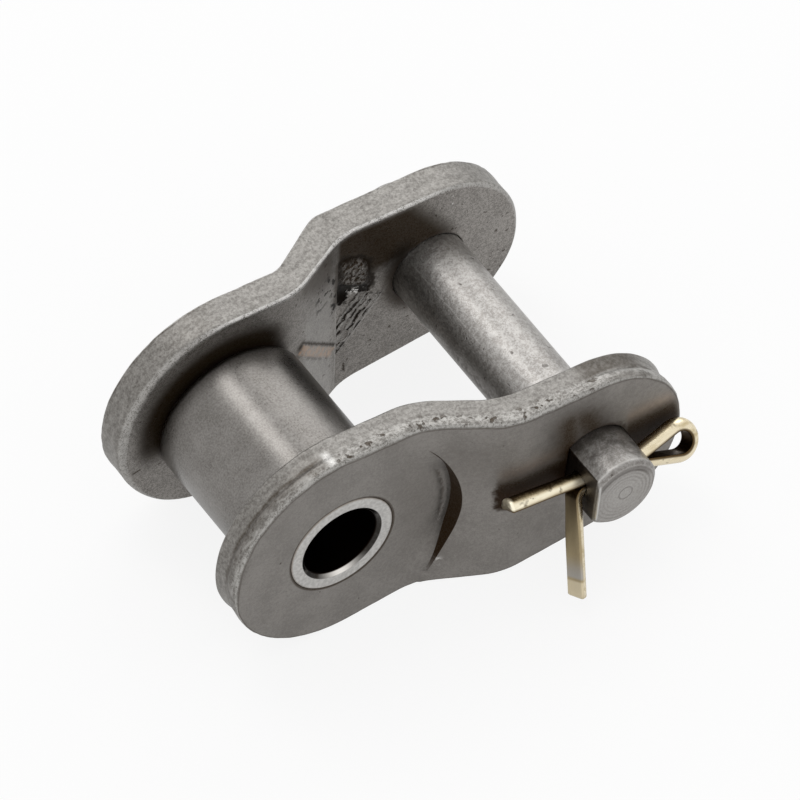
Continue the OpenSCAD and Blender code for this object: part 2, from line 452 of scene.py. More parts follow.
@dataclass(frozen=True)
class PlateFinish:
    """Matt heat-treated plate steel with a blanked, streaked rim and worn lips; its wear marks add painted shade,
    shadow, highlights and a painted reflection.
    """

    name: str
    face_speckle: float
    strip_width: float
    pit_level: float
    hem_level: float
    dark: Colour = (0.195, 0.183, 0.170)
    light: Colour = (0.282, 0.267, 0.250)
    wall_dark: Colour = (0.128, 0.120, 0.110)
    wall_light: Colour = (0.355, 0.343, 0.323)
    lip_and_highlight: Colour = (0.68, 0.67, 0.65)
    burnish: Colour = (0.46, 0.45, 0.43)
    grime_and_shade: Colour = (0.028, 0.015, 0.004)
    black: Colour = (0.005, 0.003, 0.001)
    tan: Colour = (0.43, 0.27, 0.165)
    face_rough: float = 0.42
    trough: float = 0.0

    def wear(self, g: Graph, across: Num) -> Wear:
        """Marks at their places on one plate; a plain plate has none."""
        none = across * 0.0
        return Wear(none, none, none, 0.0, none)

    def material(self) -> bpy.types.Material:
        """Builds the node material."""
        g = Graph(self.name)
        across, run = (g.mark(m) for m in CrankedPlate.MARKS)
        wall = across.step(0.05, 0.14) * across.step(0.97, 0.88)
        strip = across.step(0.08, 0.15) * across.step(self.strip_width + 0.14, self.strip_width)
        x, _, _ = g.axes()
        ends = x.step(1.0, -3.0).most(x.step(25.0, 28.0))
        groove = across.bell(self.strip_width + 0.1, 0.035)
        border = across.step(0.015, 0.04) * across.step(0.12, 0.07)
        brow = across.bell(0.17, 0.05)
        hem = across.step(0.78, 0.83) * across.step(0.965, 0.93)
        cloud = g.noise(0.25, 3.0)
        grain = g.noise(5.0, 2.0)
        fine = g.noise(11.0, 1.0)
        lumps = g.noise(1.3, 3.0, shift=7.0)
        drag = g.streaks(run * 0.3, across * 5.5, 1.6, 3.0)
        pits = g.noise(1.7, 2.0, shift=3.0).step(self.pit_level, self.pit_level + 0.05)
        sand = (0.4 * grain + 0.6 * fine).step(0.36, 0.64)
        mottle = g.noise(2.6, 2.0, shift=17.0)
        patchy = 0.7 * cloud + 0.15 + self.face_speckle * (0.7 * (sand - 0.5) + 0.9 * (mottle - 0.5))
        face = g.mix(patchy.step(0.2, 0.8), self.dark, self.light)
        coarse = (0.6 * mottle + 0.4 * grain).step(0.34, 0.66)
        edge = g.mix(sand * 0.3 + coarse * 0.45 + drag.step(0.3, 0.7) * 0.25, self.wall_dark, self.wall_light)
        colour = g.mix(wall, face, edge)
        # the rim's wall darker towards the bush end
        colour = g.mix(wall * x.step(1.0, -3.0) * 0.15, colour, self.grime_and_shade)
        worn = drag * (0.5 + 0.3 * ends) + mottle * (0.5 - 0.3 * ends) + 0.2 * (sand - 0.5) * (1 - 0.6 * ends)
        worn = worn.step(0.42, 0.66)
        hollow = across.bell(0.42, 0.09) * x.step(1.0, -3.0) * drag.step(0.36, 0.52) * wall
        colour = g.mix(strip * worn * 0.6, colour, self.burnish)
        colour = g.mix(strip * (0.4 * grain + 0.6 * lumps).step(0.42, 0.30) * 0.35, colour, self.grime_and_shade)
        colour = g.mix(groove * wall * drag.step(0.6, 0.42) * (0.1 + 0.45 * ends), colour, self.grime_and_shade)
        dents = strip * (1 - ends) * g.noise(1.5, 1.0, shift=29.0).step(0.62, 0.68)
        colour = g.mix((dents * 0.75).most(hollow * self.trough), colour, self.grime_and_shade)
        colour = g.mix(border * (lumps + 0.3).step(0.4, 0.8) * 0.4, colour, self.grime_and_shade)
        ragged = (0.6 * lumps + 0.4 * sand).step(0.26, 0.5)
        colour = g.mix(brow * ragged * 0.55, colour, self.burnish)
        hem_here = hem * self.hem_level * (0.3 + 0.7 * x.between(-4.0, 29.0, 6.0))
        colour = g.mix(hem_here * ragged, colour, self.lip_and_highlight)
        colour = g.mix(pits * (1 - wall) * 0.65, colour, self.grime_and_shade)
        wear = self.wear(g, across)
        # tan rubbed metal, or a painted gold reflection of the cotter
        colour = g.mix(wear.rubbed_and_reflected * (0.5 + 0.5 * sand), colour, self.tan)
        # painted highlights, in the lip colour
        colour = g.mix(wear.bright * (0.6 + 0.5 * sand), colour, self.lip_and_highlight)
        # dirt and painted shade
        colour = g.mix(wear.dirt_and_shade * (0.85 + 0.25 * sand), colour, self.grime_and_shade)
        # black marks and painted shadow
        colour = g.mix(wear.black_and_shadow, colour, self.black)
        rough = self.face_rough + 0.14 * (sand - 0.5) + (0.48 - self.face_rough) * wall - 0.08 * hem
        rough = rough - 0.15 * wear.bright - 0.06 * wear.dirt_and_shade
        height = (0.006 + 0.014 * wall) * grain + (0.003 + 0.006 * wall) * fine + wear.height
        height = height + 0.03 * strip * (drag + mottle) + 0.015 * strip * lumps - 0.03 * pits
        height = height - 0.03 * groove * (0.2 + 0.8 * ends) - 0.06 * dents
        height = height + 0.05 * hem_here * lumps
        return g.metal(colour, rough, height, 1 - 0.9 * wear.dirt_and_shade.most(wear.black_and_shadow))


@dataclass(frozen=True)
class NearPlateFinish(PlateFinish):
    """Near plate: painted shade round the pin and the cotter and in the pocket's corner, with a few painted glints
    there, and a painted gold reflection of the cotter.
    """

    black: Colour = (0.016, 0.0060, 0.0005)
    trough: float = 0.5
    pocket_r: float = 12.2
    tail: float = math.radians(22)

    def wear(self, g: Graph, across: Num) -> Wear:
        """Marks of the outer face and of the rim behind the pin."""
        x, _, z = g.axes()
        face = across.step(0.03, 0.01)
        grain = g.noise(2.4, 3.0, shift=13.0)
        cut, corner = self.pocket_marks(x, z, grain)
        dirt_and_shade, black_and_shadow = self.pin_shadows(x + 0.8 * (grain - 0.5), z + 0.5 * (grain - 0.5))
        behind = across.between(0.42, 0.92, 0.12) * x.between(24.0, 33.0, 2.4) * z.step(2.0, 5.0)
        behind = behind.most(across.between(0.12, 0.4, 0.1) * x.between(27.0, 33.0, 2.0) * z.step(2.0, 4.0) * 0.7)
        # painted shade and shadow round the pin, along the cotter and at the pocket's corner; dirt in the tool cut; a
        # dark ring at the bush's joint
        dirt_and_shade = face * dirt_and_shade.most(corner, 0.6 * cut, 0.75 * (x * x + z * z).root().step(5.95, 5.78))
        # painted glints on the pocket's wall and on a notch in the rim's wall
        low = x.bell(10.75, 0.25) * z.bell(-3.2, 0.7)
        lower = x.bell(10.2, 0.3) * z.bell(-8.3, 0.5)
        notch_glint = x.bell(-0.9, 0.4) * across.between(0.2, 0.62, 0.1) * z.step(8.0, 10.0)
        bright = (face * (low + lower) * grain.step(0.5, 0.6)).most(0.8 * notch_glint)
        black = face * black_and_shadow.most(0.5 * corner)
        # painted reflection of the cotter's gold leg and eye on the face above them
        gold_reflection = x.between(14.8, 24.0, 1.2).most(x.between(28.8, 36.0, 1.0)) * z.bell(3.2, 1.1)
        dirt_and_shade = dirt_and_shade.most(behind * (0.25 + 0.45 * grain))
        return Wear(dirt_and_shade, black, bright, face * gold_reflection * 0.24, face * (cut * -0.03))

    def pocket_marks(self, x: Num, z: Num, grain: Num) -> tuple[Num, Num]:
        """Shares of the tool cut, and of painted shade on the pocket's wall and fainter beside it."""
        ahead = x * math.cos(self.tail) - z * math.sin(self.tail)
        aside = (x * math.sin(self.tail) + z * math.cos(self.tail)).most(0.0)
        reach = (ahead * ahead + aside * aside).root()
        # painted shade: dark on the pocket's wall, fainter across the pocket beside it
        corner = 0.95 * reach.between(self.pocket_r - 0.1, self.pocket_r + 0.1, 0.06)
        corner = corner.most(0.22 * reach.between(self.pocket_r - 1.9, self.pocket_r + 0.1, 1.7)) * x.step(9.0, 10.2)
        return z.between(-4.6, 5.0, 2.0) * reach.bell(11.25, 0.28) * grain.step(0.25, 0.65), corner

    def pin_shadows(self, x: Num, z: Num) -> tuple[Num, Num]:
        """Shares of painted shade and of black painted shadow on the face: the shadow and dark reflection of the stub
        and the wire round the pin, along the cotter and above the pin.
        """
        plume = 0.88 * (x + 0.45 * (z - 5.0)).bell(25.1, 2.2) * z.step(10.0, 6.2) * z.step(1.0, 3.0)
        beside = 0.9 * x.bell(22.6, 2.0) * z.between(-1.0, 9.8, 3.0)
        # a broad darkening over the face's upper middle and its bush half
        above = (0.2 * x.bell(12.6, 3.6) * z.bell(5.5, 4.5)).most(0.2 * x.bell(8.6, 3.2) * z.bell(0.0, 7.0))
        leg = x.between(14.6, 25.0, 0.8) * z.step(-2.2, -1.4)
        eye = x.between(28.6, 36.0, 1.0) * z.step(-3.2, -2.2)
        root = 0.8 * ((x - 25.4) ** 2 + z * z).root().step(4.9, 4.1)
        dirt_and_shade = plume.most(beside, above, root, 0.95 * leg * z.step(3.7, 1.5), 0.92 * eye * z.step(3.7, 1.6))
        dirt_and_shade = dirt_and_shade.most(0.14 * leg * z.step(4.6, 2.2))
        by_pin_shadow = 0.85 * x.bell(23.1, 1.1) * z.between(-1.0, 4.2, 1.6)
        return dirt_and_shade, by_pin_shadow.most(0.85 * leg * z.step(2.4, 0.8), 0.75 * eye * z.step(2.2, 0.6))


@dataclass(frozen=True)
class FarPlateFinish(PlateFinish):
    """Far plate: torn, crumpled metal beyond the inner face's crease, a bar worn tan, and painted shade, shadow and
    glints on the inner face.
    """

    crease_x: float = 14.7

    def wear(self, g: Graph, across: Num) -> Wear:
        """Marks of the inner face: a crumpled lump, black hollows, ribs, the tan bar, and painted shade, shadow,
        glints and light.

        The lump fills a leaning box, where (u^4 + w^4)^(1/4) < 1; the ribs are a
        sine across their direction. Noise makes every outline ragged.
        """
        x, _, z = g.axes()
        inner = across.step(0.97, 0.99)
        warp = g.noise(0.9, 2.0, shift=2.0) - 0.5
        chips = g.noise(2.4, 3.0, shift=9.0) - 0.5
        beyond = x.step(self.crease_x - 0.02, self.crease_x + 0.08)
        lean = z + 0.62 * (x - 16.0)
        across_box = (x - 16.75) / 1.75
        up_box = (lean - 5.1) / 1.9
        box = (across_box**4 + up_box**4) ** 0.25 + 0.8 * warp + 0.5 * chips
        lump = box.step(1.05, 0.9)
        pit = (((x - 15.35) / 0.9) ** 2 + ((lean - 1.9) / 1.6) ** 2).root() + 0.9 * chips + 0.5 * warp
        arch = (lean - 2.75).size() / 0.5 + 1.2 * chips
        hollow = pit.step(1.1, 0.9).most(arch.step(1.1, 0.8) * x.between(15.2, 18.9, 0.5)) * beyond
        over = (x - 19.9) * 0.755 - (z + 0.6) * 0.656
        crest = ((over + 1.0 * warp + 0.5 * chips) * 8.0).sine()
        breaks = g.noise(1.5, 1.0, shift=31.0).step(0.45, 0.52)
        ribs = over.step(0.15, 0.0) * over.step(-3.5, -3.0) * lean.step(2.3, 1.8) * beyond
        # painted shade in the ribs' valleys, and painted highlights on their crests further down
        rib_valley_shade = ribs * crest.step(0.3, -0.5) * breaks
        ring = box.bell(1.15, 0.3) * beyond
        scar = (x + 0.8 * chips).bell(15.95, 0.13) * z.between(-9.9, -6.2, 0.6) * warp.step(-0.1, 0.0)
        by_crease = x.between(13.5, 14.8, 0.5) * z.between(-3.0, 8.0, 1.5)
        by_crease = by_crease.most(x.between(10.6, 14.8, 1.4) * z.between(3.4, 8.0, 1.4))
        dots = by_crease * g.noise(1.3, 1.0, shift=41.0).step(0.58, 0.62)
        ragged = 0.8 * chips + 0.5 * warp
        # painted shadow under the rim
        under_rim_shadow = x.step(14.3, 15.2) * (x + 0.68 * z).step(32.0, 29.0) * (z + 1.5 * ragged).step(2.2, 4.2)
        # painted shade at the ramp's top and along the crease
        ramp_top_shade = 0.6 * x.between(7.5, 15.0, 2.0) * (z + 0.72 * (x - 7.4)).step(9.2, 11.6)
        crease_shade = 0.75 * (x + 1.2 * ragged).bell(14.6, 0.6) * z.between(0.5, 8.5, 1.5)
        # painted shadow round the pin's root
        by_pin_shadow = x.bell(22.3, 1.7) * z.bell(3.8, 1.9)
        pin_root_shadow = 0.8 * ((x - 25.4) ** 2 + z**2).root().step(6.2, 4.2) * x.step(26.5, 23.0)
        along = (x - 8.41) * 0.631 - (z - 3.16) * 0.775
        down = (x - 8.41) * -0.775 - (z - 3.16) * 0.631 + 0.35 * chips
        bar = along.between(0.9, 9.9, 0.3) * down.between(0.0, 1.25, 0.25) * (chips + 0.5 * warp).step(-0.2, 0.1)
        rim = along.between(0.4, 9.6, 0.3) * down.bell(-0.1, 0.18)
        rim = rim.most(1.1 * along.bell(0.75, 0.45) * down.bell(0.35, 0.6))
        rim = rim.most(0.5 * along.between(0.2, 9.8, 0.2) * down.bell(1.3, 0.2) * warp.step(-0.02, 0.1))
        # painted shadow of the roller on the inner face
        roller_shadow = 0.95 * (x**2 + z**2).root().step(11.0, 8.6) * z.step(-4.5, -0.5) * x.step(7.6, 4.6)
        dash = x.between(-10.7, -9.4, 0.3) * (z - 0.16 * x).bell(-1.8, 0.12)
        # painted glints: scattered white specks and one in the hollow
        glint_specks = g.noise(1.6, 1.0, shift=21.0).step(0.77, 0.80) * x.step(7.0, 9.0)
        glint = x.bell(17.2, 0.9) * (z + 0.3 * (x - 17.2)).bell(1.8, 0.5) * chips.step(0.0, 0.08)
        dirt_and_shade = hollow * (1 - 0.5 * lump)
        dirt_and_shade = dirt_and_shade.most(0.98 * ring, 0.95 * rib_valley_shade, pin_root_shadow, 0.92 * under_rim_shadow * (1 - 0.85 * lump), ramp_top_shade, crease_shade)
        dirt_and_shade = dirt_and_shade.most(0.85 * scar, 0.9 * dots, 0.9 * dash, 0.9 * rim, lump * chips.step(0.08, -0.08) * 0.95, roller_shadow)
        # painted light on the ramp, and painted highlight lines along the crease and the ribs' edge
        lit = x.between(8.6, 14.7, 1.2) * z.step(7.5, 3.0)
        ridge = (x + 0.3 * chips).bell(self.crease_x - 0.12, 0.12) * z.between(-12.0, 2.4, 1.0)
        edge = (over + 0.3 * chips).bell(0.16, 0.13) * z.between(-5.2, 0.6, 0.6)
        bright = (0.22 * ridge).most(0.25 * edge, 0.2 * ribs * crest.step(0.4, 0.9), 2.0 * glint, 0.8 * glint_specks, 0.2 * lit)
        relief = lump * (0.7 * chips + 0.3 * warp) + 0.1 * ribs * crest - 0.35 * hollow * (1 - lump)
        clear = inner * (1 - glint.most(glint_specks))
        black_and_shadow = (0.95 * hollow * (1 - 0.7 * lump)).most(0.7 * ring, 0.7 * rib_valley_shade, 0.8 * by_pin_shadow, 0.2 * under_rim_shadow * (1 - lump), 0.9 * dots, 0.65 * roller_shadow)
        return Wear(clear * dirt_and_shade, clear * black_and_shadow, inner * bright, inner * bar, inner * relief)


@dataclass(frozen=True)
class RollerFinish:
    """Satin roller steel with a fine speckle and faint turning lines."""

    name: str = "roller_steel"
    dark: Colour = (0.140, 0.131, 0.121)
    light: Colour = (0.238, 0.227, 0.214)

    def material(self) -> bpy.types.Material:
        """Builds the node material."""
        g = Graph(self.name)
        cloud = g.noise(0.3, 3.0)
        grain = g.noise(5.5, 3.0)
        lines = g.noise(3.0, 2.0, stretch=(0.25, 1.6, 0.25))
        colour = g.mix((0.5 * cloud + 0.8 * grain - 0.15).step(0.25, 0.75), self.dark, self.light)
        rough = 0.29 + 0.08 * (grain - 0.5) + 0.08 * (cloud - 0.5)
        return g.metal(colour, rough, 0.006 * grain + 0.005 * lines)


@dataclass(frozen=True)
class PinFinish:
    """Finely speckled pin steel with turning rings and a small ring mark on its end, painted shade at the stub's root
    and on its flat, and painted highlights on its end's edges.
    """

    name: str = "pin_steel"
    dark: Colour = (0.268, 0.253, 0.238)
    light: Colour = (0.430, 0.417, 0.400)
    grime_and_shade: Colour = (0.035, 0.025, 0.018)
    lip_and_highlight: Colour = (0.60, 0.59, 0.57)
    turn: float = math.radians(4.5)
    flat_x: float = 2.87
    end_y: float = -20.85
    axis_x: float = 25.4
    dot_x: float = 25.67
    dot_r: float = 0.75

    def material(self) -> bpy.types.Material:
        """Builds the node material."""
        g = Graph(self.name)
        x, y, z = g.axes()
        end = y.step(self.end_y + 0.12, self.end_y + 0.05)
        grain = g.noise(4.5, 2.0)
        fine = g.noise(9.0, 1.0)
        cloud = g.noise(0.4, 2.0)
        coarse = g.noise(2.0, 2.0, shift=15.0)
        speckle = (0.65 * grain + 0.35 * fine + 0.3 * (cloud - 0.5) - 0.5) * (1 - 0.55 * end)
        speckle = speckle + 0.6 * (coarse - 0.5) * (1 - end)
        pits = g.noise(1.3, 2.0, shift=4.0).step(0.69, 0.75) * (1 - end)
        radius = ((x - self.axis_x) ** 2 + z**2).root()
        from_dot = ((x - self.dot_x) ** 2 + z**2).root()
        rings = end * (radius * 15.0 + 3.0 * (cloud - 0.5)).sine()
        dot = end * from_dot.step(self.dot_r - 0.15, self.dot_r) * from_dot.step(self.dot_r + 0.15, self.dot_r)
        off_flat = (x - self.axis_x) * math.cos(self.turn) - z * math.sin(self.turn) + self.flat_x
        # painted highlights along the flat's edge at the end and on the shoulder between shaft and chamfer
        lip_and_highlight = off_flat.step(0.24, 0.08) * y.step(self.end_y + 0.24, self.end_y + 0.12)
        flat_shade = off_flat.step(0.1, 0.04) * (y - self.end_y).between(0.3, 8.0, 0.4)
        shoulder = (y - self.end_y).bell(0.55, 0.14) * (1 - flat_shade)
        bevel = (y - self.end_y).between(0.06, 0.48, 0.1)
        colour = g.mix(speckle.step(-0.2, 0.2), self.dark, self.light)
        colour = g.mix(dot * 0.4 + pits * 0.6, colour, self.grime_and_shade)
        # painted shade where the stub meets the near plate, and on the flat
        stub_root_shade = y.between(-17.3, -14.0, 1.5) * (0.5 + 0.6 * cloud)
        colour = g.mix(stub_root_shade * 0.8 + flat_shade * 0.9 + bevel * 0.3, colour, self.grime_and_shade)
        turning = end * (0.5 + 0.5 * rings) * radius.step(0.8, 2.6) * cloud.step(0.2, 0.8)
        crescent = end * radius.between(2.7, 3.6, 0.3) * z.step(0.4, 2.2)
        stains = g.noise(0.8, 3.0, shift=6.0).step(0.46, 0.66) * y.between(-20.3, -15.0, 1.2)
        flank = (x - self.axis_x).step(-2.6, -3.4) * (z + 2.0 * (cloud - 0.5)).bell(0.1, 1.0)
        run_off = flank * y.between(-12.4, 5.0, 4.0) * coarse.step(0.25, 0.6)
        colour = g.mix(turning * 0.4 + crescent * 0.45 + stains * 0.4 + run_off * 0.75, colour, self.grime_and_shade)
        colour = g.mix(lip_and_highlight * 0.8 + shoulder * cloud * 0.8, colour, self.lip_and_highlight)
        rough = 0.41 + 0.14 * (grain - 0.5)
        height = (0.008 * grain + 0.005 * fine) * (1 - 0.6 * end) + 0.025 * coarse * (1 - end)
        height = height + 0.003 * rings - 0.03 * dot - 0.02 * pits
        return g.metal(colour, rough, height)


@dataclass(frozen=True)
class BushFinish:
    """Bright ground bush steel whose bore is painted black for oil and its shade, with a darker mouth chamfer and a
    painted glint low on it.
    """

    name: str = "bush_steel"
    dark: Colour = (0.44, 0.43, 0.415)
    light: Colour = (0.58, 0.57, 0.55)
    oil_and_shade: Colour = (0.006, 0.003, 0.002)
    stain: Colour = (0.16, 0.12, 0.085)
    painted_glint: Colour = (0.80, 0.77, 0.73)
    chamfer_dark: Colour = (0.030, 0.027, 0.024)
    bore_r: float = 4.01
    rim_r: float = 5.65

    def material(self) -> bpy.types.Material:
        """Builds the node material."""
        g = Graph(self.name)
        x, _, z = g.axes()
        radius = (x**2 + z**2).root()
        bore = radius.step(self.bore_r + 0.12, self.bore_r + 0.04)
        grain = g.noise(3.0, 3.0)
        lines = g.noise(0.9, 2.0, stretch=(1.0, 4.0, 1.0))
        colour = g.mix((grain + 0.4 * (lines - 0.5)).step(0.3, 0.7), self.dark, self.light)
        rim = radius.step(self.rim_r - 0.22, self.rim_r - 0.02)
        chamfer = radius.step(self.bore_r + 0.46, self.bore_r + 0.36)
        colour = g.mix(rim * 0.7, colour, self.stain)
        # painted glint low on the mouth's chamfer, over a chamfer darker all round
        glint_spot = x.bell(0.0, 1.6) * z.step(-3.0, -3.7)
        colour = g.mix(chamfer * (0.9 + 0.2 * grain), colour, self.chamfer_dark)
        colour = g.mix(chamfer * glint_spot * 0.95, colour, self.painted_glint)
        # the bore painted black for oil and for its shade
        colour = g.mix(bore, colour, self.oil_and_shade)
        rough = 0.36 + 0.12 * (grain - 0.5) + 0.1 * bore - 0.18 * chamfer * (1 - bore)
        return g.metal(colour, rough, (0.004 * grain + 0.003 * lines) * (1 - 0.7 * chamfer))


@dataclass(frozen=True)
class WireFinish:
    """Yellow zinc on drawn wire: pale on its round back, with a painted cream highlight along the straight leg;
    browner on its flat, and painted shade in the eye.
    """

    name: str = "cotter_wire"
    cream: Colour = (1.0, 0.93, 0.74)
    pale: Colour = (0.80, 0.71, 0.52)
    tan: Colour = (0.56, 0.46, 0.28)
    flat: Colour = (0.36, 0.29, 0.175)
    brown: Colour = (0.09, 0.058, 0.026)
    bloom: Colour = (0.40, 0.41, 0.43)
    bloom_at: float = 0.955

    def material(self) -> bpy.types.Material:
        """Builds the node material."""
        g = Graph(self.name)
        inside, along, over = (g.mark(m) for m in CotteredPin.MARKS)
        drawn = g.noise(0.8, 2.0, stretch=(0.5, 2.0, 2.0))
        blotch = g.noise(1.1, 3.0, shift=5.0)
        fine = g.noise(5.0, 2.0)
        eye = along.step(0.36, 0.42) * along.step(0.66, 0.58)
        straight = along.step(0.34, 0.28)
        colour = g.mix(drawn.step(0.25, 0.6), self.tan, self.pale)
        # painted highlight: a cream band along the straight leg's round back, and its tip
        shine = (over + 0.2 * (drawn - 0.5)).bell(-0.86, 0.15) * (0.55 + 0.6 * drawn)
        # painted shade: browner over the rest of the straight leg, mottled with stains
        top = (over + 0.8 * (blotch - 0.5) + 0.5 * (fine - 0.5)).step(-0.8, -0.2)
        leg = g.mix(shine.most(along.step(0.012, 0.002)), g.mix(top, self.tan, self.brown), self.cream)
        colour = g.mix(straight, colour, leg)
        down_leg = g.mix(along.step(0.755, 0.85), self.brown, self.flat)
        down_leg = g.mix((over + 0.6 * (drawn - 0.5)).step(-0.3, 0.9) * 0.35, down_leg, self.tan)
        down_leg = g.mix(along.step(0.962, 0.968) * 0.6, down_leg, self.pale)
        colour = g.mix(inside, colour, down_leg)
        colour = g.mix(blotch.step(0.6, 0.74) * (1 - inside) * along.step(0.75, 0.7) * 0.7, colour, self.brown)
        # painted shade inside the eye
        colour = g.mix(inside * eye * 0.9, colour, self.brown)
        hazy = along.step(self.bloom_at - 0.05, self.bloom_at) * along.step(self.bloom_at + 0.008, self.bloom_at)
        colour = g.mix(inside * hazy * 0.6, colour, self.bloom)
        rough = 0.27 + 0.14 * (drawn - 0.5) + 0.08 * (fine - 0.5) + 0.08 * inside + 0.08 * straight
        return g.metal(colour, rough, 0.003 * drawn + 0.003 * fine + 0.004 * blotch * (1 - inside))


@dataclass(frozen=True)
class LinkSizes:
    """Sizes that several pieces share, in millimetres and radians."""

    pitch: float = 25.4
    bush_in_y: float = 8.15
    plate_t: float = 3.5
    plate_offset: float = 4.0
    bush_end_r: float = 11.9
    pin_end_r: float = 10.1
    bush_r: float = 5.65
    bush_bore_r: float = 4.01
    pin_r: float = 3.97
    flat_x: float = 2.87
    slip_gap: float = 0.03
    pin_turn: float = math.radians(4.5)
    cotter_y: float = -17.75
    wire_r: float = 1.1

    @property
    def bush_out_y(self) -> float:
        """Outer face of a plate at the bush end."""
        return self.bush_in_y + self.plate_t

    @property
    def pin_in_y(self) -> float:
        """Inner face of a plate at the pin end."""
        return self.bush_in_y + self.plate_offset

    @property
    def pin_out_y(self) -> float:
        """Outer face of a plate at the pin end."""
        return self.pin_in_y + self.plate_t

    @property
    def flank_lean(self) -> float:
        """Angle of the upper flank's normal from X."""
        return math.acos((self.bush_end_r - self.pin_end_r) / self.pitch)


class Side(Enum):
    """Which plate, by the sign of its Y."""

    NEAR = -1
    FAR = 1


class Face(Enum):
    """Which face of a plate."""

    OUTER = 0
    INNER = 1


class End(Enum):
    """Which end of the link."""

    BUSH = 0
    PIN = 1


@dataclass(frozen=True)
class Ramp:
    """Outward step of a plate's face on its way from the bush to the pin."""

    middle_x: float
    bend_r: float
    angle: float = math.radians(28)

    def rise(self, step: float, x: Array) -> Array:
        """Rise of the face: an arc, a straight ramp and the opposite arc.

        Each arc rises r - sqrt(r^2 - d^2), with d the distance from where it starts.

        Args:
            step: Height of the whole ramp.
            x: X of the points.

        Returns:
            The rise at each point.
        """
        bend, slope = self.bend_r, math.tan(self.angle)
        run = step / 2 / slope + bend * math.tan(self.angle / 2)
        first, last = self.middle_x - run, self.middle_x + run
        reach, full = bend * math.sin(self.angle), bend * (1 - math.cos(self.angle))
        lower = bend - np.sqrt(bend**2 - np.clip(x - first, 0, reach) ** 2)
        upper = bend - np.sqrt(bend**2 - np.clip(last - x, 0, reach) ** 2)
        straight = (np.clip(x, first + reach, last - reach) - first - reach) * slope
        return lower + straight + full - upper


